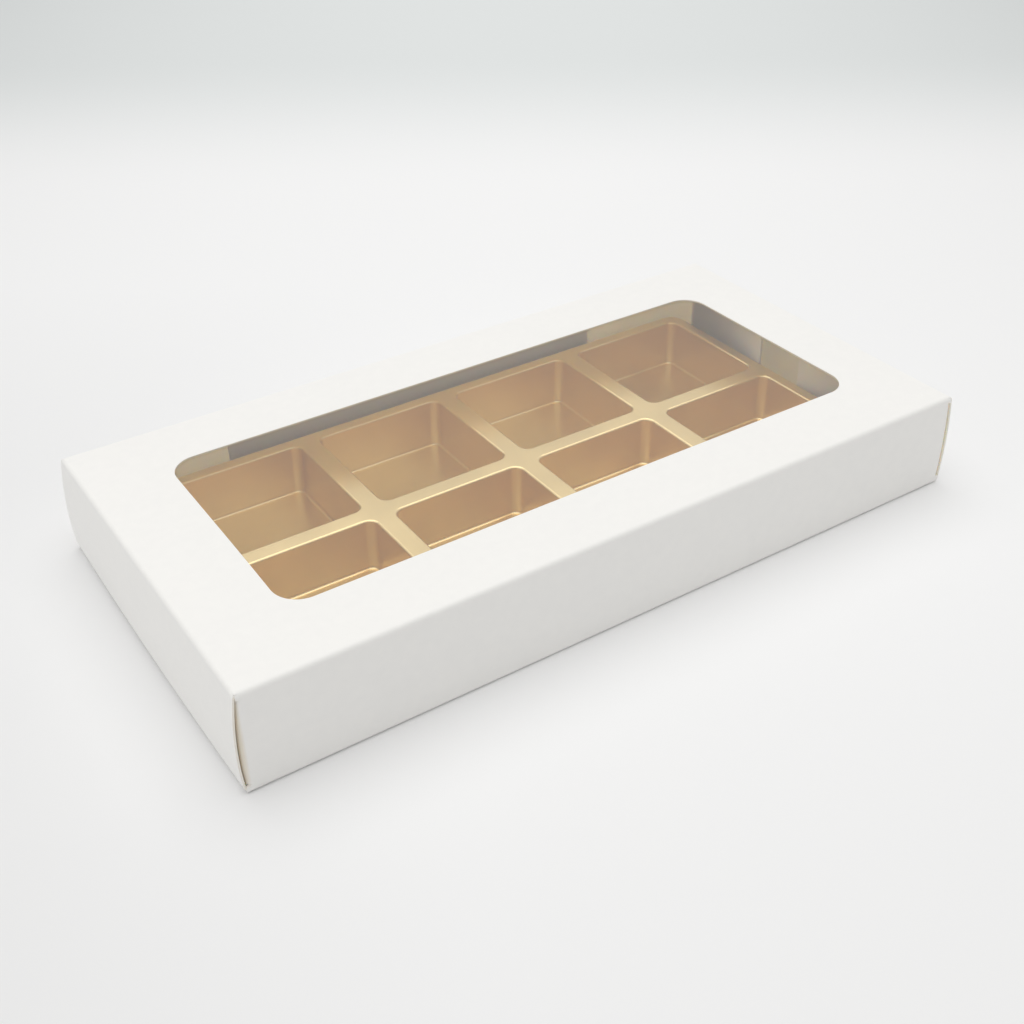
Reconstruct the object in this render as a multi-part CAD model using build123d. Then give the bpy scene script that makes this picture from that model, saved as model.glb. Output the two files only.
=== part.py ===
from build123d import *
import math
import os

# A folding carton with a windowed top and a loose formed tray for eight chocolates.
# Millimetres, +Z up. The origin is the middle of the face that the box stands on,
# X runs along the long side and Y from the front panel to the back panel.

# Carton sizes
box_length = 200.0
box_width = 102.0
box_height = 26.5
board = 0.45  # thickness of the coated board
crease_radius = 1.3  # outer face of every fold
overrun = 5.0  # how far cutting shapes run past what they cut

# Window and its film
window_end_border = 19.0  # board left at each end of the window
window_side_border = 18.2  # board left in front of the window and behind it
window_corner_radius = 8.0
film_lap = 6.0  # glued border under the top panel
film_thickness = 0.15

# End closures, hinged on the short edges of the top panel
closure_side_gap = 0.3  # each side edge to the outer face of the long panel
closure_spread = 0.75  # the tuck crease stands this much further out than the top fold
bow_angle = 7.3  # half of the turn of the bowed panel between its two folds
tuck_length = 10.0  # straight part, past its crease
tuck_incline = 20.0  # upward tilt inside the closed box
tuck_floor_gap = 0.3  # crease to the bottom panel
tuck_side_gap = 1.5
tuck_side_taper = 3.0  # narrowing on each side at the free edge
tuck_corner_radius = 4.0

# Long panels and the dust flaps on their ends
panel_end_gap = 0.8  # raw end of a long panel above its flap to the end of the box
panel_foot_gap = 0.3  # the same below the flap and on the bottom panel
flap_setback = 0.65  # outer face of the flap crease to the end of the box, at its upper end
flap_spread = 0.7  # the lower end of the crease stands this much further out
flap_lean = 14.45  # inward tilt past square
flap_middle_gap = 13.0  # between the free edges of a pair, if both were square
flap_low = 2.8  # lower end of the crease above the base
flap_high_gap = 1.6  # upper end of the crease below the top face
flap_low_rise = 3.6  # the lower edge climbs this much towards the free edge
flap_high_fall = 1.8  # the upper edge drops this much towards the free edge
flap_corner_radius = 3.0

# Glue seam inside the back panel
seam_edge_gap = 0.1  # raw lower edge of the back panel above the base
seam_end_gap = 5.0  # each end of the seam flap to the end of the box
seam_low_height = 7.0
seam_tall_height = 15.5
seam_tall_length = 116.0

# Formed tray
columns = 4
rows = 2
sheet = 0.4
tray_height = 14.2  # from the bottom panel to the top of the rim
tray_lift = 0.1  # running gap under the cells
tray_corner_radius = 5.0
rim_width = 4.3  # outer edge to the cell mouths
rim_radius = 1.6  # outer face of the turned edge
skirt_depth = 4.5
column_rib = 5.6  # between neighbouring columns
row_rib = 5.0  # between the two rows
cell_corner_radius = 2.5
cell_floor_radius = 1.0
mouth_radius = 0.6
cell_draft = 2.0  # degrees
tray_flap_gap = 0.4  # tray to the flaps that it rests against
tray_end_play = 5.1  # how far the loose tray can slide between the flaps
tray_front_gap = 11.4  # front panel to the tray
tray_back_gap = 4.4  # tray to the seam flap

# Places worked out from the sizes
half_length = box_length / 2
half_width = box_width / 2
fold_x = half_length - crease_radius  # axis of the top fold at each end
fold_y = half_width - crease_radius
fold_z = box_height - crease_radius
flap_high = box_height - flap_high_gap
flap_middle_z = (flap_low + flap_high) / 2
flap_slant = math.degrees(math.atan(flap_spread / (flap_high - flap_low)))
flap_fold_x = half_length - flap_setback - crease_radius + flap_spread / 2  # at its middle height
flap_length = half_width - crease_radius - flap_middle_gap / 2
seam_fold_y = half_width - board - crease_radius
window_length = box_length - 2 * window_end_border
window_width = box_width - 2 * window_side_border


def on_circle(centre, radius, angle):
    """Point of a circle at an angle in degrees."""
    turn = math.radians(angle)
    return (centre[0] + radius * math.cos(turn), centre[1] + radius * math.sin(turn))


def board_section(start, heading, moves):
    """Section through folded board, walked along its outer face with the inner face to the left.

    A move is a straight length, or a pair of outer radius and angle for a bend to the left.
    """
    outer_edges = []
    inner_edges = []
    point = start
    inner_start = on_circle(start, board, heading + 90)
    for move in moves:
        if isinstance(move, tuple):
            radius, angle = move
            centre = on_circle(point, radius, heading + 90)
            outer_edges.append(CenterArc(centre, radius, heading - 90, angle))
            inner_edges.append(CenterArc(centre, radius - board, heading - 90, angle))
            heading = heading + angle
            point = on_circle(centre, radius, heading - 90)
        else:
            following = on_circle(point, move, heading)
            inner_from = on_circle(point, board, heading + 90)
            inner_to = on_circle(following, board, heading + 90)
            outer_edges.append(Line(point, following))
            inner_edges.append(Line(inner_from, inner_to))
            point = following
    inner_end = on_circle(point, board, heading + 90)
    caps = [Line(start, inner_start), Line(point, inner_end)]
    return make_face(outer_edges + inner_edges + caps)


def trimmed(solid, plane, outline):
    """Part of a folded solid inside an outline that is drawn on a plane of its panel."""
    return solid & extrude(plane * outline, amount=crease_radius + overrun, both=True)


def span(low, high, face):
    """Flat XY section as an upright prism between two heights."""
    return extrude(Pos(0, 0, low) * face, amount=high - low)


def flat_for(radius):
    """Size of the flat cut that touches the middle of a small rounded edge."""
    return (2 - math.sqrt(2)) * radius


# Top panel

quarter_fold = (crease_radius, 45)


def top_panel():
    """Windowed panel with half of each fold along its four edges and rounded corners."""
    flat = Pos(0, 0, box_height - board) * extrude(Rectangle(2 * fold_x, 2 * fold_y), amount=board)
    front = board_section((-fold_y, box_height), 180, [quarter_fold])
    left = board_section((-fold_x, box_height), 180, [quarter_fold])
    corner = board_section((0, box_height), 180, [quarter_fold])
    long_fold = extrude(Plane.YZ * front, amount=fold_x, both=True)
    end_fold = extrude(Plane.XZ * left, amount=fold_y, both=True)
    corner_fold = revolve(Plane.XZ * corner, axis=Axis.Z, revolution_arc=90)
    corner_fold = Pos(-fold_x, -fold_y, 0) * corner_fold
    panel = flat + long_fold + mirror(long_fold, about=Plane.XZ)
    panel = panel + end_fold + mirror(end_fold, about=Plane.YZ)
    left_corners = corner_fold + mirror(corner_fold, about=Plane.XZ)
    panel = panel + left_corners + mirror(left_corners, about=Plane.YZ)
    window = RectangleRounded(window_length, window_width, window_corner_radius)
    return panel - span(box_height - board - overrun, box_height + overrun, window)


def window_film():
    """Clear sheet glued under the window's border."""
    sheet_face = Rectangle(window_length + 2 * film_lap, window_width + 2 * film_lap)
    film_top = box_height - board
    return span(film_top - film_thickness, film_top, sheet_face)


# Long panels

def slanted(solid):
    """Form at the right end, tipped like the flap crease so that its lower end stands further out."""
    middle = Pos(flap_fold_x, 0, flap_middle_z)
    return middle * Rot(0, -flap_slant, 0) * middle.inverse() * solid


def flap_crease_halves():
    """Half of the upright crease at each end of the front panel."""
    half = board_section((flap_fold_x, -half_width), 0, [quarter_fold])
    right = slanted(span(flap_low, flap_high, half))
    return right + mirror(right, about=Plane.YZ)


def end_cuts():
    """Blocks that take a long panel back to its flap creases, and to its raw ends above them."""
    depth = half_length - flap_fold_x + overrun
    block = Box(depth, 2 * overrun, flap_high - flap_low)
    block = slanted(Pos(flap_fold_x + depth / 2, -half_width, flap_middle_z) * block)
    above = Box(2 * overrun, 2 * overrun, 2 * overrun)
    block = block + Pos(half_length - panel_end_gap + overrun, -half_width, flap_high + overrun) * above
    return block + mirror(block, about=Plane.YZ)


def long_panel(section):
    """A long side panel from its section, with the end creases of its two dust flaps."""
    body = extrude(Plane.YZ * section, amount=half_length - panel_foot_gap, both=True)
    return body - end_cuts() + flap_crease_halves()


def front_panel():
    """Front panel between half of the top fold and half of the bottom fold."""
    start = on_circle((-fold_y, fold_z), crease_radius, 135)
    height = box_height - 2 * crease_radius
    return long_panel(board_section(start, 225, [quarter_fold, height, quarter_fold]))


def back_panel():
    """Back panel, which ends in a raw lower edge over the seam flap. Drawn at the front and mirrored."""
    start = on_circle((-fold_y, fold_z), crease_radius, 135)
    height = box_height - crease_radius - seam_edge_gap
    return mirror(long_panel(board_section(start, 225, [quarter_fold, height])), about=Plane.XZ)


def bottom_panel():
    """Bottom panel from half of the front fold to half of the seam fold."""
    start = on_circle((-fold_y, crease_radius), crease_radius, 225)
    section = board_section(start, 315, [quarter_fold, fold_y + seam_fold_y, quarter_fold])
    return extrude(Plane.YZ * section, amount=half_length - panel_foot_gap, both=True)


def seam_flap():
    """Flap on the back edge of the bottom panel, glued to the inner face of the back panel."""
    start = on_circle((seam_fold_y, crease_radius), crease_radius, 315)
    section = board_section(start, 45, [quarter_fold, seam_tall_height - crease_radius])
    low_half = half_length - seam_end_gap
    tall_half = seam_tall_length / 2
    right_side = [
        (low_half, 0),
        (low_half - seam_low_height, seam_low_height),
        (tall_half, seam_low_height),
        (tall_half, seam_tall_height),
    ]
    left_side = [(-x, z) for x, z in reversed(right_side)]
    outline = make_face(Polyline(*right_side, *left_side, close=True))
    body = extrude(Plane.YZ * section, amount=half_length, both=True)
    return body & extrude(Plane.XZ * outline, amount=-half_width - overrun)


# End closures

tuck_fold_x = fold_x + closure_spread
tuck_fold_z = board + tuck_floor_gap + crease_radius
closure_slant = math.degrees(math.atan(closure_spread / (fold_z - tuck_fold_z)))
bow_rise = math.sin(math.radians(bow_angle))
closure_chord = math.hypot(closure_spread, fold_z - tuck_fold_z) + 2 * crease_radius * bow_rise
bow_radius = closure_chord / (2 * bow_rise)


def left_closure():
    """Bowed end panel from half of the top fold to half of the tuck crease."""
    start = on_circle((-fold_x, fold_z), crease_radius, 135)
    top_turn = (crease_radius, 45 - closure_slant - bow_angle)
    tuck_turn = (crease_radius, 45 + closure_slant - bow_angle)
    section = board_section(start, 225, [top_turn, (bow_radius, 2 * bow_angle), tuck_turn])
    return extrude(Plane.XZ * section, amount=half_width - closure_side_gap, both=True)


def left_tuck():
    """Tuck flap, which slips in over the bottom panel."""
    centre = (-tuck_fold_x, tuck_fold_z)
    start = on_circle(centre, crease_radius, 225)
    section = board_section(start, 315, [(crease_radius, 45 + tuck_incline), tuck_length])
    half_tuck = half_width - tuck_side_gap
    body = extrude(Plane.XZ * section, amount=half_tuck, both=True)
    tip_half = half_tuck - tuck_side_taper
    back_reach = -crease_radius - overrun
    points = [
        (back_reach, half_tuck),
        (0, half_tuck),
        (tuck_length, tip_half),
        (tuck_length, -tip_half),
        (0, -half_tuck),
        (back_reach, -half_tuck),
    ]
    outline = make_face(Polyline(*points, close=True))
    outline = fillet(outline.vertices().group_by(Axis.X)[-1], tuck_corner_radius)
    tilt = math.radians(tuck_incline)
    along = Vector(math.cos(tilt), 0, math.sin(tilt))
    panel_plane = Plane(origin=(centre[0], 0, centre[1]), x_dir=along, z_dir=along.cross(Vector(0, 1, 0)))
    return trimmed(body, panel_plane, outline)


# Dust flaps

flap_heading = 90 + flap_lean


def front_right_flap():
    """Dust flap on the right end of the front panel, leaning in against the tray."""
    centre = (flap_fold_x, -fold_y)
    start = on_circle(centre, crease_radius, 315)
    section = board_section(start, 45, [(crease_radius, 45 + flap_lean), flap_length])
    body = span(0, box_height, section)
    back_reach = -crease_radius - overrun
    points = [
        (back_reach, flap_low),
        (0, flap_low),
        (flap_length, flap_low + flap_low_rise),
        (flap_length, flap_high - flap_high_fall),
        (0, flap_high),
        (back_reach, flap_high),
    ]
    outline = make_face(Polyline(*points, close=True))
    outline = fillet(outline.vertices().group_by(Axis.X)[-1], flap_corner_radius)
    along = Vector(*on_circle((0, 0), 1, flap_heading), 0)
    panel_plane = Plane(origin=(*centre, 0), x_dir=along, z_dir=along.cross(Vector(0, 0, 1)))
    return slanted(trimmed(body, panel_plane, outline))


# Formed tray

flap_tangent = on_circle((flap_fold_x, -fold_y), crease_radius - board, flap_heading - 90)
flap_tip_x = on_circle(flap_tangent, flap_length, flap_heading)[0]
tray_length = 2 * (flap_tip_x - tray_flap_gap) - tray_end_play
tray_x = flap_tip_x - tray_flap_gap - tray_length / 2
tray_front = board + tray_front_gap - half_width
tray_back = half_width - 2 * board - tray_back_gap
tray_width = tray_back - tray_front
tray_y = (tray_front + tray_back) / 2
tray_low = board + tray_lift
tray_top = board + tray_height
cell_length = (tray_length - 2 * rim_width - (columns - 1) * column_rib) / columns
cell_width = (tray_width - 2 * rim_width - (rows - 1) * row_rib) / rows
column_pitch = cell_length + column_rib
row_pitch = cell_width + row_rib


def pocket(growth, floor):
    """Drafted cell form, larger all round than the mouth by growth, with its floor at a height."""
    mouth = RectangleRounded(
        cell_length + 2 * growth, cell_width + 2 * growth, cell_corner_radius + growth
    )
    form = extrude(mouth, amount=tray_top - floor, dir=(0, 0, -1), taper=cell_draft)
    return Pos(0, 0, tray_top) * form


def rim():
    """Flat rim with a rounded edge that turns down into a short skirt."""
    skirt_low = tray_top - skirt_depth
    outer = span(skirt_low, tray_top, RectangleRounded(tray_length, tray_width, tray_corner_radius))
    outer = fillet(outer.edges().group_by(Axis.Z)[-1], rim_radius)
    inner_face = RectangleRounded(
        tray_length - 2 * sheet, tray_width - 2 * sheet, tray_corner_radius - sheet
    )
    inner = span(skirt_low - overrun, tray_top - sheet, inner_face)
    inner = chamfer(inner.edges().group_by(Axis.Z)[-1], flat_for(rim_radius - sheet))
    return outer - inner


def chocolate_tray():
    """Thin formed sheet with two rows of four drafted cells."""
    cells = GridLocations(column_pitch, row_pitch, columns, rows)
    inside = pocket(0, tray_low + sheet)
    inside = chamfer(inside.edges().group_by(Axis.Z)[0], flat_for(cell_floor_radius))
    tray = rim() + cells * pocket(sheet, tray_low) - cells * inside
    top_face = tray.faces().sort_by(Axis.Z)[-1]
    mouth_edges = [edge for wire in top_face.inner_wires() for edge in wire.edges()]
    tray = chamfer(mouth_edges, flat_for(mouth_radius))
    return Pos(tray_x, tray_y, 0) * tray


# Nodes

front_right = front_right_flap()
back_right = mirror(front_right, about=Plane.XZ)
closure = left_closure()
tuck = left_tuck()
nodes = {
    "top_panel": top_panel(),
    "window_film": window_film(),
    "front_panel": front_panel(),
    "back_panel": back_panel(),
    "bottom_panel": bottom_panel(),
    "seam_flap": seam_flap(),
    "left_closure": closure,
    "right_closure": mirror(closure, about=Plane.YZ),
    "left_tuck_flap": tuck,
    "right_tuck_flap": mirror(tuck, about=Plane.YZ),
    "front_right_dust_flap": front_right,
    "back_right_dust_flap": back_right,
    "front_left_dust_flap": mirror(front_right, about=Plane.YZ),
    "back_left_dust_flap": mirror(back_right, about=Plane.YZ),
    "chocolate_tray": chocolate_tray(),
}

os.makedirs("parts", exist_ok=True)
for node_name, shape in nodes.items():
    export_step(shape, f"parts/{node_name}.step")

top_hinge = on_circle((-fold_x, fold_z), crease_radius, 135)
tuck_hinge = on_circle((-tuck_fold_x, tuck_fold_z), crease_radius, 225)
flap_hinge = on_circle((flap_fold_x, -fold_y), crease_radius, 315)
print("left closure hinge, x and z:", top_hinge)
print("left tuck hinge, x and z:", tuck_hinge)
print("front right flap hinge, x and y at the middle height:", flap_hinge, flap_middle_z)
print("slant of the flap creases in degrees:", flap_slant)
print("end bow:", bow_radius * (1 - math.cos(math.radians(bow_angle))))
print("cell mouth:", cell_length, cell_width, "tray middle:", tray_x, tray_y)
print("tray size:", tray_length, tray_width)
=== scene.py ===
# %% [markdown]
# # A chocolate box in white board and gold sheet
# The box is a folding carton with a film window, and a formed tray lies loose in it.
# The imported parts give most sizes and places, and this script dresses them: it models
# the folded board, the film with its crown and the tray with its rounded edges, and
# gives each piece a procedural finish.

import math

import bmesh
import bpy
from mathutils import Matrix, Vector


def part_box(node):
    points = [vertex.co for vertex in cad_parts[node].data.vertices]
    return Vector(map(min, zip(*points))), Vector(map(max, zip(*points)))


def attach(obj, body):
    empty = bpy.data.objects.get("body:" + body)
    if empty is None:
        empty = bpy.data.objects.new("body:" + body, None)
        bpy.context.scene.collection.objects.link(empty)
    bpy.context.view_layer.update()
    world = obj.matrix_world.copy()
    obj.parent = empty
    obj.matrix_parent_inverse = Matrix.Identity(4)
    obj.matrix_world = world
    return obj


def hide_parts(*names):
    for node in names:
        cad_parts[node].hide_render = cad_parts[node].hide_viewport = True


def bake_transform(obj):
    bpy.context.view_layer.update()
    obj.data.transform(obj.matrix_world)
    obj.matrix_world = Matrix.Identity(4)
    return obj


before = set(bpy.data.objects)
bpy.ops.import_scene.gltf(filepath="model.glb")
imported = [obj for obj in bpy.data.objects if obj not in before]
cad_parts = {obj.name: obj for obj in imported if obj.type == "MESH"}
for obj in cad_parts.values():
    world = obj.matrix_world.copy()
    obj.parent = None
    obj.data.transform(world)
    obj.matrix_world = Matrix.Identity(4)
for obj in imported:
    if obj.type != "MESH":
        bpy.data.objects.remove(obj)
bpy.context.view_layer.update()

# %% [markdown]
# ## Sizes
# All sizes are in metres. Where a piece lies and how far it reaches is measured on the
# parts, which keeps the looks and the parts together. A box round a part doesn't show
# the board, a crease or the length between the folds, because the closures bow past
# it, so such sizes are written here or beside the piece that they shape.

# %% Sizes of the carton
BOARD = 0.00045
CREASE = 0.0013
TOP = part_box("top_panel")[1].z
BACK_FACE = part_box("back_panel")[1].y
HALF_LENGTH = 0.1
FOLD_X = HALF_LENGTH - CREASE
FOLD_Y = BACK_FACE - CREASE
FOLD_Z = TOP - CREASE
EIGHTH_TURN = math.radians(45)
FOLD_STEPS = 8
print("fold axes at", FOLD_X, FOLD_Y, FOLD_Z)

# %% [markdown]
# ## Modelling helpers
# The pieces are modelled as by hand: a primitive is added, and parts of it are
# selected by their place and then spun, extruded or bevelled. These helpers do the
# selecting, because an operator works on whatever is selected.


# %% Helpers for edit mode
def start_plane(name, size_x, size_y, at=(0, 0, 0), upright=False):
    """A rectangle in edit mode with nothing selected; upright ones stand on the X axis."""
    tilt = math.pi / 2 if upright else 0
    bpy.ops.object.select_all(action="DESELECT")
    bpy.ops.mesh.primitive_plane_add(size=1, location=at, rotation=(tilt, 0, 0))
    piece = bpy.context.object
    piece.name = piece.data.name = name
    piece.scale = (size_x, size_y, 1)
    bpy.ops.object.transform_apply(location=True, rotation=True, scale=True)
    bpy.ops.object.mode_set(mode="EDIT")
    bpy.ops.mesh.select_all(action="DESELECT")
    return piece


def pick(piece, kind, test):
    """Selects the vertices, edges or faces whose middle passes the test."""
    bpy.ops.mesh.select_mode(type={"verts": "VERT", "edges": "EDGE", "faces": "FACE"}[kind])
    bpy.ops.mesh.select_all(action="DESELECT")
    mesh = bmesh.from_edit_mesh(piece.data)
    for part in getattr(mesh, kind):
        if kind == "verts":
            middle = part.co
        elif kind == "edges":
            middle = (part.verts[0].co + part.verts[1].co) / 2
        else:
            middle = part.calc_center_median()
        if test(part, middle):
            part.select_set(True)
    mesh.select_flush_mode()
    bmesh.update_edit_mesh(piece.data)


def near(a, b, slack=1e-5):
    """Whether two lengths are the same."""
    return abs(a - b) < slack


def open_edges(piece, test=lambda middle: True):
    """Selects the edges with one face, where their middle passes a test."""
    pick(piece, "edges", lambda edge, middle: len(edge.link_faces) < 2 and test(middle))


def spin(centre, axis, angle, steps=FOLD_STEPS):
    """Folds the board on from the selected edge, anticlockwise as seen against the axis."""
    bpy.ops.mesh.spin(steps=steps, angle=-angle, center=centre, axis=axis)


def lengthen(move):
    """Carries the board on from the selected edge in a straight line."""
    bpy.ops.mesh.extrude_edges_move(TRANSFORM_OT_translate={"value": move})


# %% [markdown]
# Each panel is drawn as its outer face alone, and a Solidify modifier then gives the
# thickness of the board towards the inside. Its inner side gets the second material of
# the piece and its rim the third, which is the raw cut edge. Where one panel's fold
# goes on in the next panel, nothing is cut, and a test leaves the rim white where it
# would show. Then a shift can bend the whole sheet, because a curve is simpler to add
# at the end than to model in. Shading stays smooth over the folds and sharp at the cut
# edges, and weighted normals keep the flat faces flat up to the folds.


# %% Helpers that finish a piece
def apply(piece, kind, **settings):
    """Adds a modifier to a piece and applies it."""
    made = piece.modifiers.new(kind.lower(), kind)
    for key, value in settings.items():
        setattr(made, key, value)
    bpy.ops.object.modifier_apply(modifier=made.name)


def finish_sheet(piece, thickness, finishes, sharp=35, shift=None, cut=None):
    """Leaves edit mode, gives the sheet its thickness and finishes, and shifts its points."""
    bpy.ops.mesh.select_all(action="SELECT")
    bpy.ops.mesh.remove_doubles(threshold=1e-6)
    bpy.ops.object.mode_set(mode="OBJECT")
    for finish in finishes:
        piece.data.materials.append(finish)
    inner, rim = min(1, len(finishes) - 1), len(finishes) - 1
    offsets = {"material_offset": inner, "material_offset_rim": rim}
    apply(piece, "SOLIDIFY", thickness=thickness, offset=-1, use_even_offset=True, **offsets)
    for face in piece.data.polygons:
        if cut and face.material_index == rim and not cut(face.center):
            face.material_index = 0
    if shift:
        for vertex in piece.data.vertices:
            vertex.co += shift(vertex.co)
    bpy.ops.object.shade_smooth_by_angle(angle=math.radians(sharp))
    apply(piece, "WEIGHTED_NORMAL", keep_sharp=True)
    low = Vector(map(min, *[v.co for v in piece.data.vertices]))
    high = Vector(map(max, *[v.co for v in piece.data.vertices]))
    low, high = (tuple(round(c, 5) for c in corner) for corner in (low, high))
    print(piece.name, "from", low, "to", high)


def face_along(piece, direction):
    """Turns the faces of an open sheet so that most of its outer side looks along a direction."""
    mesh = bmesh.from_edit_mesh(piece.data)
    mesh.normal_update()
    bmesh.ops.recalc_face_normals(mesh, faces=mesh.faces)
    total = sum((face.normal * face.calc_area() for face in mesh.faces), Vector())
    if total.dot(Vector(direction)) < 0:
        bmesh.ops.reverse_faces(mesh, faces=mesh.faces)
    bmesh.update_edit_mesh(piece.data)


# %% [markdown]
# ## Shader helper
# A finish is built from nodes, and most of the work in it is arithmetic. This class
# wraps a socket, so that an expression such as mask * 0.2 + 0.5 adds the Math nodes
# for it. Every other node comes from one method.


# %% Sockets with arithmetic
class Value:
    """A socket of a finish, with arithmetic."""

    def __init__(self, finish, socket):
        self.finish = finish
        self.socket = socket

    def math(self, operation, *others):
        inputs = {0: self, **{i + 1: other for i, other in enumerate(others)}}
        return self.finish.node("ShaderNodeMath", {"operation": operation}, inputs)

    def __add__(self, other):
        return self.math("ADD", other)

    __radd__ = __add__

    def __mul__(self, other):
        return self.math("MULTIPLY", other)

    __rmul__ = __mul__

    def __sub__(self, other):
        return self.math("SUBTRACT", other)

    def __rsub__(self, other):
        return self.finish.node("ShaderNodeMath", {"operation": "SUBTRACT"}, {0: other, 1: self})

    def out(self, name):
        return Value(self.finish, self.socket.node.outputs[name])


class Finish:
    """A node material whose shader sockets are set by name."""

    def __init__(self, name):
        self.material = bpy.data.materials.new(name)
        self.material.use_nodes = True
        self.tree = self.material.node_tree
        self.shader = self.tree.nodes["Principled BSDF"]

    def node(self, kind, settings=None, inputs=None):
        made = self.tree.nodes.new(kind)
        for key, value in (settings or {}).items():
            setattr(made, key, value)
        for key, value in (inputs or {}).items():
            self.put(made.inputs[key], value)
        return Value(self, next(o for o in made.outputs if o.enabled))

    def put(self, socket, value):
        if isinstance(value, Value):
            self.tree.links.new(value.socket, socket)
        elif socket.type == "RGBA":
            socket.default_value = (*value, 1)
        else:
            socket.default_value = value

    def set(self, **values):
        for name, value in values.items():
            self.put(self.shader.inputs[name.replace("_", " ")], value)

    def mix(self, factor, first, second):
        return self.node("ShaderNodeMix", {"data_type": "RGBA"}, {0: factor, 6: first, 7: second})

    def noise(self, scale, detail, place=None):
        inputs = {"Scale": scale, "Detail": detail, "Vector": place or self.place()}
        return self.node("ShaderNodeTexNoise", {}, inputs)

    def place(self, scale=(1, 1, 1)):
        where = self.node("ShaderNodeTexCoord").out("Object")
        return self.node("ShaderNodeMapping", {}, {"Vector": where, "Scale": scale})

    def ramp(self, value, low, high):
        """Clamped linear step from 0 at low to 1 at high."""
        inputs = {"Value": value, "From Min": low, "From Max": high}
        return self.node("ShaderNodeMapRange", {"clamp": True}, inputs)

    def bump(self, height, strength, distance):
        inputs = {"Height": height, "Strength": strength, "Distance": distance}
        return self.node("ShaderNodeBump", {}, inputs)


# %% [markdown]
# ## Finishes of the board
# The board is clay-coated: a smooth white face with a low sheen, and under it pressed
# fibre that shows only as a very faint mottle. Its inner side is bare, and its warm tint
# is painted light that stands in for the light the gold throws back on it; on the flaps
# it is painted lighter and warmer still. So thin a board lets some light through, so that
# side gets subsurface scattering. How far the light goes in is fitted to the photograph,
# and it is less on the flaps. Where the board is cut, the cream core shows. Noises at
# different scales give the clouds, the mottle and the fibres. Along the upright creases
# at the left end a warm tan is painted in as shade, after the one that the photograph
# shows, and four ramps keep that painted shade near them.


# %% White coated board
# Painted shade along the upright creases at the left end: where it lies, and its warm tan.
CREASE_SHADE_REACH = (-0.0990, -0.0997)
CREASE_SHADE_TOP = (0.0256, 0.0236)
CREASE_SHADE_FOOT = (0.0014, 0.0034)
CREASE_SHADE_CORNER = (0.0485, 0.0500)
CREASE_SHADE_COLOUR = (0.74, 0.64, 0.46)
FIBRES = (900, 2600, 2600)


def coated_board(name, light, shade, shaded=False):
    finish = Finish(name)
    mottle = finish.noise(420, detail=4)
    cloud = finish.noise(24, detail=2)
    tone = finish.ramp(mottle * 0.6 + cloud * 0.4, 0.35, 0.65)
    fibre = finish.noise(1, detail=5, place=finish.place(FIBRES))
    grain = fibre * 0.5 + mottle * 0.5
    colour = finish.mix(tone, shade, light)
    # Painted shade: a warm tan on the left upright creases, where the gap at the corner lies in
    # shade.
    if shaded:
        across = finish.node("ShaderNodeSeparateXYZ", {}, {0: finish.place()})
        reach = finish.ramp(across.out("X"), *CREASE_SHADE_REACH)
        height = across.out("Z")
        between = finish.ramp(height, *CREASE_SHADE_TOP) * finish.ramp(height, *CREASE_SHADE_FOOT)
        corner = finish.ramp(across.out("Y").math("ABSOLUTE"), *CREASE_SHADE_CORNER)
        crease_shade = reach * between * corner * (0.3 + 0.6 * cloud)
        colour = finish.mix(crease_shade, colour, CREASE_SHADE_COLOUR)
    finish.set(
        Base_Color=colour,
        Roughness=tone * 0.06 + 0.5,
        Coat_Weight=0.12,
        Coat_Roughness=0.35,
        Normal=finish.bump(grain, 0.10, 0.0002),
    )
    return finish.material


# %% Raw edge and bare side of the board
EDGE_LAYERS = (700, 700, 5000)
EDGE_DARK = (0.86, 0.81, 0.71)
EDGE_LIGHT = (0.94, 0.91, 0.85)
LIGHT_DEPTHS = (1.0, 0.72, 0.48)


def raw_edge(name):
    finish = Finish(name)
    layers = finish.noise(1, detail=3, place=finish.place(EDGE_LAYERS))
    finish.set(
        Base_Color=finish.mix(layers, EDGE_DARK, EDGE_LIGHT),
        Roughness=0.85,
        Normal=finish.bump(layers, 0.3, 0.0001),
    )
    return finish.material


def uncoated_board(name, dark, light, depth):
    finish = Finish(name)
    cloud = finish.noise(60, detail=4)
    fibre = finish.noise(1, detail=5, place=finish.place(FIBRES))
    finish.set(
        Base_Color=finish.mix(cloud, dark, light),
        Roughness=0.8,
        Subsurface_Weight=1.0,
        Subsurface_Radius=LIGHT_DEPTHS,
        Subsurface_Scale=depth,
        Normal=finish.bump(fibre, 0.12, 0.0002),
    )
    return finish.material


# %% Finishes for the outer side, the inner side and the rim
WHITE = {"light": (0.945, 0.93, 0.902), "shade": (0.925, 0.911, 0.886)}
# Painted light: the warm tint of the bare side stands in for the light that the gold throws back.
INNER = {"dark": (0.91, 0.80, 0.67), "light": (0.95, 0.86, 0.75), "depth": 0.0018}
# Painted light: the flaps' copy of the bare side is lighter and warmer, standing in for the light
# the gold throws on them.
FLAP = {"dark": (0.99, 0.875, 0.76), "light": (1.0, 0.91, 0.82), "depth": 0.0004}
white_board = coated_board("white board", **WHITE)
# This copy of the white board carries the painted shade along the left creases.
crease_shaded_board = coated_board("white board, worn along its creases", **WHITE, shaded=True)
inner_board = uncoated_board("inner side of the board", **INNER)
lit_flap_board = uncoated_board("inner side of the flaps, painted lighter", **FLAP)
board_edge = raw_edge("raw board edge")
board_finishes = [white_board, inner_board, board_edge]
crease_shaded_finishes = [crease_shaded_board, inner_board, board_edge]
lit_flap_finishes = [crease_shaded_board, lit_flap_board, board_edge]

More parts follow.
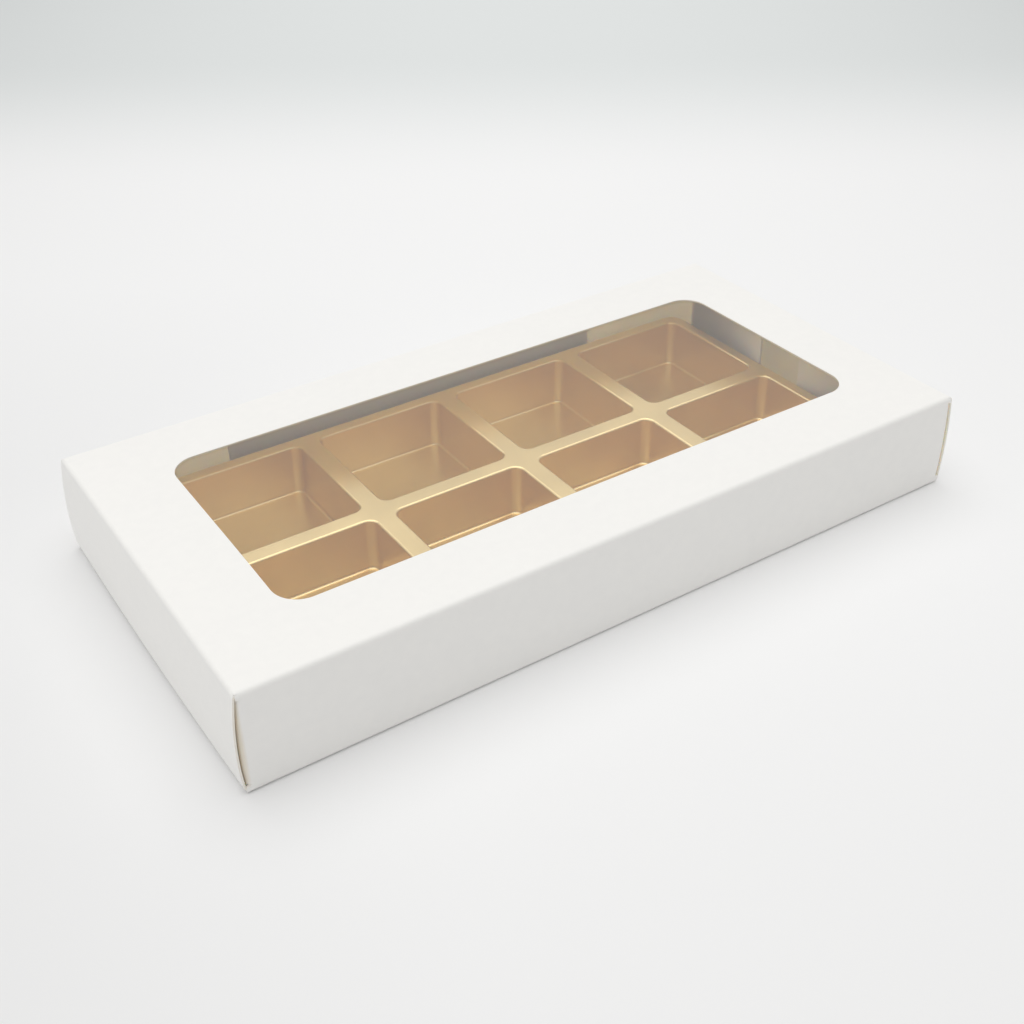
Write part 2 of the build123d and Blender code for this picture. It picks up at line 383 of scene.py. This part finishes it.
# %% [markdown]
# ## Top panel
# The panel leaves its folds at a slight slope, because a crease never closes quite
# square, so it is crowned and the window's edge stands highest. It is made from two
# outlines with the same number of points, the window's and the panel's, which are
# bridged. The outer one is then folded down through an eighth of a turn, in small
# steps, and the crown is a function of the distance to the folds. It droops towards
# the front left corner. The window is trimmed by less than a millimetre and stands a
# little to the right and to the front of the middle. The droop, the trims and the
# place of the window were fitted to the photograph. The corners of the fold stay
# nearly square, so that they close on the panels below.

# %% The crown
CROWN = 0.00078
BORDER = 0.0185
DROOP = 0.75
DROOP_START = 0.02
DROOP_LENGTH = 0.1
DROOP_WIDTH = 0.033


def crown(place):
    """How far the panel is lifted above its folds at a place."""
    rise = 1.0
    for distance in (FOLD_X - abs(place.x), FOLD_Y - abs(place.y)):
        share = min(max(distance / BORDER, 0.0), 1.0)
        rise *= share * (2 - share)
    left = min(max((DROOP_START - place.x) / DROOP_LENGTH, 0.0), 1.0)
    front = min(max(-place.y / DROOP_WIDTH, 0.0), 1.0)
    return Vector((0, 0, CROWN * rise * (1 - DROOP * left * front * front)))


# %% The panel with its window
film_low, film_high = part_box("window_film")
FILM_LAP = 0.006
WINDOW_TRIM_X = 0.00016
WINDOW_TRIM_Y = 0.00046
WINDOW_X = film_high.x - FILM_LAP - WINDOW_TRIM_X
WINDOW_Y = film_high.y - FILM_LAP - WINDOW_TRIM_Y
WINDOW_MIDDLE = Vector((0.00062, -0.00026, 0))
WINDOW_CORNER = 0.0067
PANEL_CORNER = 0.0004
OUTLINE_STEPS = 10
SIDE_CUTS = 30
BORDER_CUTS = 7
SHORTEST_SIDE = 0.02
OUTER_SHARE = 0.985


def rounded_outline(name, half_x, half_y, height, corner, corner_steps, cuts=0, at=Vector()):
    """Rectangle with rounded corners and points along its sides, as edges alone."""
    outline = start_plane(name, 2 * half_x, 2 * half_y, at + Vector((0, 0, height)))
    bpy.ops.mesh.select_all(action="SELECT")
    bpy.ops.mesh.bevel(offset=corner, segments=corner_steps, affect="VERTICES")
    bpy.ops.mesh.delete(type="ONLY_FACE")
    if cuts:
        pick(outline, "edges", lambda edge, middle: edge.calc_length() > SHORTEST_SIDE)
        bpy.ops.mesh.subdivide(number_cuts=cuts)
    bpy.ops.object.mode_set(mode="OBJECT")
    return outline


def joined(*outlines):
    """The outlines as one object in edit mode."""
    bpy.ops.object.select_all(action="DESELECT")
    for outline in outlines:
        outline.select_set(True)
    bpy.context.view_layer.objects.active = outlines[0]
    bpy.ops.object.join()
    bpy.ops.object.mode_set(mode="EDIT")
    bpy.ops.mesh.select_mode(type="EDGE")
    bpy.ops.mesh.select_all(action="SELECT")
    return outlines[0]


def turn_down(reach, corner, radius, angle, steps, way=1, square=False):
    """Extrudes a rounded outline down through an arc, outward or (way -1) inward.

    A square one keeps its corners pointed, where the arcs of both sides meet.
    """
    core = Vector(reach) - Vector((corner, corner))
    for step in range(steps):
        first, second = (angle * k / steps for k in (step, step + 1))
        lengthen((0, 0, -radius * (math.cos(first) - math.cos(second))))
        outward = way * radius * (math.sin(second) - math.sin(first))
        mesh = bmesh.from_edit_mesh(bpy.context.object.data)
        for vertex in mesh.verts:
            if vertex.select:
                place = vertex.co.xy
                nearest = Vector(max(-limit, min(limit, c)) for c, limit in zip(place, core))
                direction = (place - nearest).normalized()
                longest = max(abs(direction.x), abs(direction.y)) if square else 1
                vertex.co.xy += direction / longest * outward
        bmesh.update_edit_mesh(bpy.context.object.data)


def on_outline(place):
    """Whether a place is on the panel's outline rather than on the window's."""
    return max(abs(place.x) / FOLD_X, abs(place.y) / FOLD_Y) > OUTER_SHARE


def in_window(place):
    """Whether a place is within the film, where the board's rim is a cut edge."""
    return abs(place.x) < film_high.x and abs(place.y) < film_high.y


steps_and_cuts = (OUTLINE_STEPS, SIDE_CUTS)
window_sizes = (WINDOW_X, WINDOW_Y, TOP, WINDOW_CORNER)
panel_sizes = (FOLD_X, FOLD_Y, TOP, PANEL_CORNER)
window = rounded_outline("board_top_panel", *window_sizes, *steps_and_cuts, at=WINDOW_MIDDLE)
border = rounded_outline("panel_outline", *panel_sizes, *steps_and_cuts)
top_panel = joined(window, border)
bpy.ops.mesh.bridge_edge_loops(number_cuts=BORDER_CUTS, interpolation="LINEAR")
open_edges(top_panel, on_outline)
turn_down((FOLD_X, FOLD_Y), PANEL_CORNER, CREASE, EIGHTH_TURN, FOLD_STEPS, square=True)
face_along(top_panel, (0, 0, 1))
finish_sheet(top_panel, BOARD, board_finishes, shift=crown, cut=in_window)
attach(top_panel, "carton")
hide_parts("top_panel")

# %% [markdown]
# ## Front and back panels
# A long panel is a flat rectangle. Slanting cuts mark where its end creases begin, and
# the strips beyond them are taken away between the two heights of the dust flap. The
# end edges are spun through half of the flap creases, the top edge through the rest of
# the top fold, and the lower edge of the front panel through half of the bottom fold.
# The back panel ends in a raw edge. The creases bow outward with the end closures.

# %% Places of the flap creases
END_SETBACK = 0.0005
END_X = HALF_LENGTH - END_SETBACK
FOOT_REACH = 0.0005
FOOT_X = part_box("bottom_panel")[1].x + FOOT_REACH
FLAP_LOW = 0.0022
FLAP_HIGH = 0.0249
FLAP_MIDDLE = (FLAP_LOW + FLAP_HIGH) / 2
FLAP_SPREAD = 0.0007
FLAP_SLANT = math.atan(FLAP_SPREAD / (FLAP_HIGH - FLAP_LOW))
FLAP_SETBACK = 0.00065
FLAP_X = HALF_LENGTH - FLAP_SETBACK - CREASE + FLAP_SPREAD / 2
FLAP_BOW = 0.00055
FLAP_CUTS = 12
BOW_START = 0.09


def crease_x(z):
    """Distance of the slanting crease axis from the middle, at a height."""
    return FLAP_X - (z - FLAP_MIDDLE) * math.tan(FLAP_SLANT)


def bowed(place):
    """Shift of the crease and flap, which follow the bow of the end closure."""
    share = (place.z - FLAP_MIDDLE) / (FLAP_HIGH - FLAP_MIDDLE)
    if abs(share) > 1 or abs(place.x) < BOW_START:
        return Vector()
    return Vector((math.copysign(FLAP_BOW * (1 - share * share), place.x), 0, 0))


# %% The long panels
def long_panel(name, side, low_edge):
    """Panel at the front (side -1) or the back (side 1), down to a height."""
    height = FOLD_Z - low_edge
    middle = (0, side * BACK_FACE, low_edge + height / 2)
    panel = start_plane(name, 2 * FOOT_X, height, middle, upright=True)
    cuts = [((x, 0, 0), (1, 0, 0)) for x in (-END_X, END_X)]
    cuts += [((0, 0, z), (0, 0, 1)) for z in (FLAP_LOW, FLAP_HIGH)]
    for end in (-1, 1):
        slanting = (math.cos(FLAP_SLANT), 0, end * math.sin(FLAP_SLANT))
        cuts.append(((end * FLAP_X, 0, FLAP_MIDDLE), slanting))
    for place, normal in cuts:
        bpy.ops.mesh.select_all(action="SELECT")
        bpy.ops.mesh.bisect(plane_co=place, plane_no=normal)
    beside_flap = lambda c: abs(c.x) > crease_x(c.z) and FLAP_LOW < c.z < FLAP_HIGH
    past_end = lambda c: abs(c.x) > END_X and c.z > FLAP_HIGH
    pick(panel, "faces", lambda face, c: beside_flap(c) or past_end(c))
    bpy.ops.mesh.delete(type="FACE")
    for end in (-1, 1):
        on_crease = lambda c: near(c.x, end * crease_x(c.z)) and FLAP_LOW < c.z < FLAP_HIGH
        open_edges(panel, on_crease)
        bpy.ops.mesh.subdivide(number_cuts=FLAP_CUTS)
        open_edges(panel, on_crease)
        axis = (-end * math.sin(FLAP_SLANT), 0, math.cos(FLAP_SLANT))
        spin((end * FLAP_X, side * FOLD_Y, FLAP_MIDDLE), axis, -side * end * EIGHTH_TURN)
    open_edges(panel, lambda middle: near(middle.z, FOLD_Z))
    spin((0, side * FOLD_Y, FOLD_Z), (1, 0, 0), side * EIGHTH_TURN)
    return panel


def between_folds(place):
    """Whether a place is clear of the top and bottom folds, where the rim counts as cut."""
    return FLAP_LOW + BOARD < place.z < FOLD_Z - BOARD


front_panel = long_panel("board_front_panel", -1, CREASE)
open_edges(front_panel, lambda middle: near(middle.z, CREASE))
spin((0, -FOLD_Y, CREASE), (1, 0, 0), EIGHTH_TURN)
face_along(front_panel, (0, -1, 0))
finish_sheet(front_panel, BOARD, crease_shaded_finishes, shift=bowed, cut=between_folds)
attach(front_panel, "carton")
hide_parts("front_panel")

back_panel = long_panel("board_back_panel", 1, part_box("back_panel")[0].z)
face_along(back_panel, (0, 1, 0))
finish_sheet(back_panel, BOARD, crease_shaded_finishes, shift=bowed, cut=between_folds)
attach(back_panel, "carton")
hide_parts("back_panel")

# %% [markdown]
# ## End closures
# An end closure is one strip of board: the rest of the top fold, a shallow bow and
# half of the tuck crease, which stands a little further out than the top fold. A
# single edge is spun three times, each time round the middle of the next arc. The
# fold is board too. The foot swells outward between its corners, as it does in the
# photograph.

# %% The end closures
SPREAD = 0.00075
SWELL = 0.0005
BOW_ANGLE = math.radians(7.3)
BOW_STEPS = 14
CLOSURE_CUTS = 16
TUCK_FLOOR_GAP = 0.0003
TUCK_FOLD_Z = BOARD + TUCK_FLOOR_GAP + CREASE
TOP_FOLD = (FOLD_X, FOLD_Z)
TUCK_FOLD = (FOLD_X + SPREAD, TUCK_FOLD_Z)
SLANT = math.atan(SPREAD / (FOLD_Z - TUCK_FOLD_Z))
CHORD = math.hypot(SPREAD, FOLD_Z - TUCK_FOLD_Z) + 2 * CREASE * math.sin(BOW_ANGLE)
BOW_RADIUS = CHORD / (2 * math.sin(BOW_ANGLE))
closure_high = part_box("left_closure")[1]


def beside(centre, radius, angle, side):
    """Point of a circle in the section across the folds, with its angle above level outward."""
    out = centre[0] + radius * math.cos(angle)
    return Vector((side * out, 0, centre[1] + radius * math.sin(angle)))


def single_edge(name, middle, reach, cuts):
    """The start of a strip: an edge, selected, from middle - reach to middle + reach."""
    strip = start_plane(name, 1, 1)
    pick(strip, "verts", lambda vertex, place: place.x > 0)
    bpy.ops.mesh.delete(type="VERT")
    for vertex in bmesh.from_edit_mesh(strip.data).verts:
        vertex.co = middle + math.copysign(1, vertex.co.y) * reach
    bmesh.update_edit_mesh(strip.data)
    pick(strip, "edges", lambda edge, place: True)
    bpy.ops.mesh.subdivide(number_cuts=cuts)
    return strip


def swelled(place):
    """Shift of a closure and its tuck flap, largest in the middle of their foot."""
    low = min(max((FOLD_Z - place.z) / (FOLD_Z - TUCK_FOLD_Z), 0), 1)
    inner = 1 - (place.y / closure_high.y) ** 2
    return Vector((math.copysign(SWELL * low * inner, place.x), 0, 0))


def end_closure(side):
    """Closure at the right (side 1) or the left (side -1) end."""
    name = "right_closure" if side > 0 else "left_closure"
    fold_start = beside(TOP_FOLD, CREASE, EIGHTH_TURN, side)
    half_edge = Vector((0, closure_high.y, 0))
    strip = single_edge("board_" + name, fold_start, half_edge, CLOSURE_CUTS)
    bow_start = beside(TOP_FOLD, CREASE, SLANT + BOW_ANGLE, side)
    bow_middle = bow_start - beside((0, 0), BOW_RADIUS, SLANT + BOW_ANGLE, side)
    top_turn = EIGHTH_TURN - SLANT - BOW_ANGLE
    tuck_turn = EIGHTH_TURN + SLANT - BOW_ANGLE
    spin(beside(TOP_FOLD, 0, 0, side), (0, 1, 0), side * top_turn)
    spin(bow_middle, (0, 1, 0), side * 2 * BOW_ANGLE, BOW_STEPS)
    spin(beside(TUCK_FOLD, 0, 0, side), (0, 1, 0), side * tuck_turn)
    face_along(strip, (side, 0, 0))
    at_side = lambda c: abs(c.y) > closure_high.y - BOARD / 2
    finish_sheet(strip, BOARD, board_finishes, shift=swelled, cut=at_side)
    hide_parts(name)
    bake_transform(strip)


end_closure(-1)
end_closure(1)

# %% [markdown]
# ## Tuck flaps
# The tuck flap goes on from the other half of its crease and runs in over the bottom
# panel and under the dust flaps. It narrows towards its free edge and has rounded
# corners, so that it slips in between the long panels. It too is one strip of board
# that bends at its crease.

# %% The tuck flaps
TUCK_INCLINE = math.radians(20)
TUCK_LENGTH = 0.010
TUCK_TAPER = 0.003
TUCK_CORNER = 0.004
CORNER_STEPS = 6
CORNER_SLACK = 1e-4
tuck_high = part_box("left_tuck_flap")[1]


def tuck_flap(side):
    """Tuck flap at the right (side 1) or the left (side -1) end."""
    end = "right" if side > 0 else "left"
    crease_middle = beside(TUCK_FOLD, CREASE, -EIGHTH_TURN, side)
    half_edge = Vector((0, tuck_high.y, 0))
    strip = single_edge(f"board_{end}_tuck_flap", crease_middle, half_edge, CLOSURE_CUTS)
    spin(beside(TUCK_FOLD, 0, 0, side), (0, 1, 0), side * (EIGHTH_TURN + TUCK_INCLINE))
    inward = Vector((-side * math.cos(TUCK_INCLINE), 0, math.sin(TUCK_INCLINE)))
    lengthen(inward * TUCK_LENGTH)
    corner_y = tuck_high.y - TUCK_TAPER
    bpy.ops.transform.resize(value=(1, corner_y / tuck_high.y, 1))
    pick(strip, "verts", lambda vertex, place: near(abs(place.y), corner_y, CORNER_SLACK))
    bpy.ops.mesh.bevel(offset=TUCK_CORNER, segments=CORNER_STEPS, affect="VERTICES")
    face_along(strip, (0, 0, -1))
    finish_sheet(strip, BOARD, board_finishes, shift=swelled)
    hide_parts(f"{end}_tuck_flap")
    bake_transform(strip)


tuck_flap(-1)
tuck_flap(1)

# %% [markdown]
# ## Dust flaps
# A dust flap starts at an upright crease and leans in a little past square, so that
# its free edge bounds the play of the tray. Both of its long edges run towards each
# other, so that the closing panels don't catch on it. One function makes all four.

# %% The dust flaps
FLAP_LEAN = math.radians(14.45)
FLAP_STEPS = 10
FLAP_MIDDLE_GAP = 0.013
FLAP_LENGTH = FOLD_Y - FLAP_MIDDLE_GAP / 2
FLAP_LOW_RISE = 0.0042
FLAP_HIGH_FALL = 0.0018
FLAP_CORNER = 0.003
FAR_SHARE = 0.9


def dust_flap(end, face):
    """Dust flap on the right or left end (1, -1) of the back or front panel (1, -1)."""
    side = "back" if face > 0 else "front"
    node = f"{side}_{'right' if end > 0 else 'left'}_dust_flap"
    centre = Vector((end * FLAP_X, face * FOLD_Y, FLAP_MIDDLE))
    start = centre + Vector((end, face, 0)) * CREASE * math.sqrt(0.5)
    height = FLAP_HIGH - FLAP_LOW
    strip = single_edge("board_" + node, start, Vector((0, 0, height / 2)), FLAP_CUTS)
    spin(centre, (0, 0, 1), -end * face * (EIGHTH_TURN + FLAP_LEAN), FLAP_STEPS)
    inward = Vector((-end * math.sin(FLAP_LEAN), -face * math.cos(FLAP_LEAN), 0))
    lengthen(inward * FLAP_LENGTH)
    bpy.ops.transform.resize(value=(1, 1, 1 - (FLAP_LOW_RISE + FLAP_HIGH_FALL) / height))
    bpy.ops.transform.translate(value=(0, 0, (FLAP_LOW_RISE - FLAP_HIGH_FALL) / 2))
    far_y = abs(centre.y) - FAR_SHARE * FLAP_LENGTH * math.cos(FLAP_LEAN)
    pick(strip, "verts", lambda vertex, c: abs(c.y) < far_y and len(vertex.link_edges) == 2)
    bpy.ops.mesh.bevel(offset=FLAP_CORNER, segments=CORNER_STEPS, affect="VERTICES")
    bpy.ops.mesh.select_all(action="SELECT")
    bpy.ops.transform.rotate(value=end * FLAP_SLANT, orient_axis="Y", center_override=centre)
    face_along(strip, (end, 0, 0))
    finish_sheet(strip, BOARD, lit_flap_finishes, shift=bowed)
    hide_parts(node)
    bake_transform(strip)


for end in (-1, 1):
    for face in (-1, 1):
        dust_flap(end, face)

# %% [markdown]
# ## Bottom panel and seam flap
# Both keep the shape of their parts, which is already right, and get their finish
# through their material slots: white board below, and on the seam flap the flaps' bare
# side, whose lighter, warmer colour is painted light, since only that side of it shows.


# %% Finishes of the bottom panel and the seam flap
def dress(node, finish):
    """Gives a part its finish through its material slots."""
    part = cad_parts[node]
    part.data.materials.clear()
    part.data.materials.append(finish)


dress("bottom_panel", white_board)
# The seam flap gets the lighter, warmer copy of the bare side: painted light.
dress("seam_flap", lit_flap_board)

# %% [markdown]
# ## Window film
# The film is glued under the border of the window and follows the crown. It is a thin
# clear sheet with a polished face: nearly all of its look is a faint veil and the
# soft light that it throws back, so it is mostly transparent and slightly rough. A
# Layer Weight node thickens the veil at a low angle, because a Fresnel node would
# make the far side of a closed sheet opaque.


# %% The film
FILM_COLOUR = (0.93, 0.92, 0.93)
FILM_CUTS = 60


def clear_film():
    finish = Finish("clear film")
    ripple = finish.noise(38, detail=1)
    grazing = finish.node("ShaderNodeLayerWeight", {}, {"Blend": 0.5}).out("Facing")
    finish.set(
        Base_Color=FILM_COLOUR,
        Roughness=0.16,
        Alpha=grazing * 0.11 + 0.04,
        Normal=finish.bump(ripple, 0.15, 0.002),
    )
    return finish.material


film = start_plane("film_window", 2 * film_high.x, 2 * film_high.y, (0, 0, film_high.z))
bpy.ops.mesh.select_all(action="SELECT")
bpy.ops.mesh.subdivide(number_cuts=FILM_CUTS)
face_along(film, (0, 0, 1))
finish_sheet(film, film_high.z - film_low.z, [clear_film()], shift=crown)
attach(film, "carton")
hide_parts("window_film")

# %% [markdown]
# ## The tray
# The tray is one sheet, drawn by heat and air over a mould, so every edge of it is
# rounded and every wall leans. One cell is modelled first: the outline of its lip is
# turned down through an arc, the wall is extruded on from it and made a little smaller
# at the floor, and the edge of the floor is bevelled.

# %% Sizes of the tray
tray_low, tray_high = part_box("chocolate_tray")
TRAY_MIDDLE = (tray_low + tray_high) / 2
TRAY_X = (tray_high.x - tray_low.x) / 2
TRAY_Y = (tray_high.y - tray_low.y) / 2
RIM = 0.0043
COLUMN_RIB = 0.0056
ROW_RIB = 0.005
COLUMNS = 4
ROWS = 2
SHEET = 0.0004
CELL_X = (2 * TRAY_X - 2 * RIM - (COLUMNS - 1) * COLUMN_RIB) / COLUMNS
CELL_Y = (2 * TRAY_Y - 2 * RIM - (ROWS - 1) * ROW_RIB) / ROWS
DEPTH = tray_high.z - tray_low.z - SHEET
LEAN = math.radians(2)
CELL_CORNER = 0.0025
LIP_RADIUS = 0.0006
FLOOR_RADIUS = 0.0007
TRAY_CORNER_STEPS = 9
LIP_STEPS = 5
FLOOR_STEPS = 5
TRAY_TOP = tray_high.z
print("cell", CELL_X, CELL_Y, DEPTH)

# %% One cell
lip = Vector((CELL_X / 2 + LIP_RADIUS, CELL_Y / 2 + LIP_RADIUS))
lip_corner = CELL_CORNER + LIP_RADIUS
cell = joined(rounded_outline("cell", *lip, TRAY_TOP, lip_corner, TRAY_CORNER_STEPS))
turn_down(lip, lip_corner, LIP_RADIUS, math.pi / 2 - LEAN, LIP_STEPS, way=-1)
lengthen((0, 0, LIP_RADIUS * (1 - math.sin(LEAN)) - DEPTH))
narrower = 2 * DEPTH * math.tan(LEAN)
bpy.ops.transform.resize(
    value=(1 - narrower / CELL_X, 1 - narrower / CELL_Y, 1), center_override=(0, 0, 0)
)
bpy.ops.mesh.edge_face_add()
pick(cell, "edges", lambda edge, middle: near(middle.z, TRAY_TOP - DEPTH))
bpy.ops.mesh.bevel(offset=FLOOR_RADIUS, segments=FLOOR_STEPS, affect="EDGES")
bpy.ops.object.mode_set(mode="OBJECT")
print("one cell has", len(cell.data.polygons), "faces")

# %% [markdown]
# The cell is copied to its eight places and joined with the outline of the rim. A fill
# between all the open outlines then gives the flat of the tray in one go. The outline
# of the rim turns down through a quarter circle into a short skirt, which stiffens the
# sheet.

# %% Eight cells, the flat and the rim
RIM_RADIUS = 0.0016
RIM_STEPS = 7
SKIRT = 0.0045
TRAY_CORNER = 0.005
RIM_CORNER = TRAY_CORNER - RIM_RADIUS
flat = Vector((TRAY_X - RIM_RADIUS, TRAY_Y - RIM_RADIUS))
tray = rounded_outline("gold_tray", *flat, TRAY_TOP, RIM_CORNER, TRAY_CORNER_STEPS)
parts = [tray]
for row in range(ROWS):
    for column in range(COLUMNS):
        copy = cell.copy()
        copy.data = cell.data.copy()
        bpy.context.collection.objects.link(copy)
        x = (column - (COLUMNS - 1) / 2) * (CELL_X + COLUMN_RIB)
        y = (row - (ROWS - 1) / 2) * (CELL_Y + ROW_RIB)
        copy.location = (x, y, 0)
        parts.append(copy)
bpy.data.objects.remove(cell)
tray = joined(*parts)
open_edges(tray)
bpy.ops.mesh.fill(use_beauty=True)
face_along(tray, (0, 0, 1))
open_edges(tray)
turn_down(flat, RIM_CORNER, RIM_RADIUS, math.pi / 2, RIM_STEPS)
lengthen((0, 0, RIM_RADIUS - SKIRT))
face_along(tray, (0, 0, 1))
bpy.ops.mesh.select_all(action="SELECT")
bpy.ops.transform.translate(value=(TRAY_MIDDLE.x, TRAY_MIDDLE.y, 0))

# %% [markdown]
# The sheet is satin gold, a thin metal layer that is stretched most in the corners of
# the cells. It mirrors only softly, so its roughness is high for a metal, and faint
# clouds in roughness and colour stand for the stretched layer. A low wave in the bump
# bends its reflections, as the sheet is never quite flat.


# %% Gold finish
GOLD_DARK = (0.79, 0.605, 0.30)
GOLD_LIGHT = (0.86, 0.665, 0.335)


def gold_sheet():
    finish = Finish("satin gold sheet")
    cloud = finish.ramp(finish.noise(55, detail=3), 0.3, 0.7)
    wave = finish.noise(32, detail=1)
    finish.set(
        Base_Color=finish.mix(cloud, GOLD_DARK, GOLD_LIGHT),
        Metallic=0.95,
        Roughness=cloud * 0.06 + 0.28,
        Normal=finish.bump(wave, 0.5, 0.001),
    )
    return finish.material


finish_sheet(tray, SHEET, [gold_sheet()], sharp=40)
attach(tray, "tray")
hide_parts("chocolate_tray")

# %% [markdown]
# ## Floor, light and camera
# The box stands on a plain pale floor. Its tone falls off gently around the box, and
# that fall is painted shade, painted at fixed places of the floor, with ramps along and
# across the heading of the camera; far off it is also tinted a little. About half of the
# light comes from a broad lamp almost straight above and most of the rest from a plain
# sky, with a weak lamp at the left. Reflections see a brighter sky than everything else
# does, which gives the gold its lights and isn't physical. The place, heading and lens of
# the camera were solved from the edges of the photographed box.

# %% The floor
FLOOR_SIZE = 12
HEADING = (0.549, 0.836)
FAR_START = 0.23
FAR_END = 0.42
CLOSE_RANGE = (-0.02, -0.15)
LEFT_RANGE = (-0.01, -0.11)
LEFT_DEPTH = (0.14, 0.02)
FLOOR_TONE = 0.929
FAR_SHADE = 0.15
CLOSE_SHADE = 0.05
LEFT_SHADE = 0.05
SIDE_SHADE = 1.3
MOST_SIDE_SHADE = 0.12
NEAR_TINT = (1, 0.997, 1)
FAR_TINT = (0.972, 1, 0.998)
bpy.ops.object.select_all(action="DESELECT")
bpy.ops.mesh.primitive_plane_add(size=FLOOR_SIZE, location=(0, 0, 0))
floor = bpy.context.object
floor.name = "floor"
floor_finish = Finish("floor")
across = floor_finish.node("ShaderNodeSeparateXYZ", {}, {0: floor_finish.place()})
back = across.out("X") * HEADING[0] + across.out("Y") * HEADING[1]
side = across.out("X") * HEADING[1] - across.out("Y") * HEADING[0]
smooth = {"interpolation_type": "SMOOTHSTEP"}
rise = {"Value": back, "From Min": FAR_START, "From Max": FAR_END}
far = floor_finish.node("ShaderNodeMapRange", smooth, rise)
close = floor_finish.ramp(back, *CLOSE_RANGE)
left = floor_finish.ramp(side, *LEFT_RANGE) * floor_finish.ramp(back, *LEFT_DEPTH)
aside = (side * side * SIDE_SHADE).math("MINIMUM", MOST_SIDE_SHADE)
# Painted shade: the floor darkens far off, close to the camera, at the left and to the sides.
tone = FLOOR_TONE - far * FAR_SHADE - close * CLOSE_SHADE - left * LEFT_SHADE - aside
tint = floor_finish.mix(far, NEAR_TINT, FAR_TINT)
floor_finish.set(Base_Color=floor_finish.mix(tone, (0, 0, 0), tint), Roughness=0.9)
floor.data.materials.append(floor_finish.material)


# %% The lights
SKY_COLOUR = (0.99, 1.0, 1.0, 1)
SKY_STRENGTH = 0.455
MIRRORED_SKY_STRENGTH = 0.8


def soft_light(name, source, spread, brightness, colour=(1, 1, 1)):
    """A far lamp, spread in degrees round a direction; brightness 1 lights white fully."""
    lamp = bpy.data.lights.new(name, "SUN")
    lamp.angle = math.radians(spread)
    lamp.energy = brightness * math.pi
    lamp.color = colour
    holder = bpy.data.objects.new(name, lamp)
    bpy.context.collection.objects.link(holder)
    holder.rotation_euler = Vector(source).to_track_quat("Z", "Y").to_euler()


soft_light(
    "overhead",
    source=(0.02, 0.12, 1),
    spread=76,
    brightness=0.492,
    colour=(1, 0.995, 0.98),
)
soft_light("left", source=(-1, 0.1, 0.45), spread=70, brightness=0.07)
world = bpy.data.worlds.new("studio")
bpy.context.scene.world = world
world.use_nodes = True
sky = world.node_tree.nodes["Background"]
sky.inputs["Color"].default_value = SKY_COLOUR
rays = world.node_tree.nodes.new("ShaderNodeLightPath")
strength = world.node_tree.nodes.new("ShaderNodeMapRange")
strength.inputs["To Min"].default_value = SKY_STRENGTH
strength.inputs["To Max"].default_value = MIRRORED_SKY_STRENGTH
world.node_tree.links.new(rays.outputs["Is Glossy Ray"], strength.inputs["Value"])
world.node_tree.links.new(strength.outputs["Result"], sky.inputs["Strength"])

# %% The camera
SENSOR_WIDTH = 36
LENS = 46.403
CAMERA_PLACE = (-0.1572, -0.23502, 0.19663)
camera = bpy.data.cameras.new("camera")
camera.sensor_width = SENSOR_WIDTH
camera.lens = LENS
holder = bpy.data.objects.new("camera", camera)
bpy.context.collection.objects.link(holder)
right = Vector((0.832053, -0.554615, -0.009467))
down = Vector((-0.32266, -0.470043, -0.821553))
forward = Vector((0.451196, 0.686631, -0.570053))
turn = Matrix((right, -down, -forward)).transposed()
holder.matrix_world = Matrix.Translation(CAMERA_PLACE) @ turn.to_4x4()
bpy.context.scene.camera = holder
bpy.context.scene.view_settings.view_transform = "Standard"

# %% [markdown]
# ## The last step
# The view layer is updated.

# %% View layer updated
bpy.context.view_layer.update()
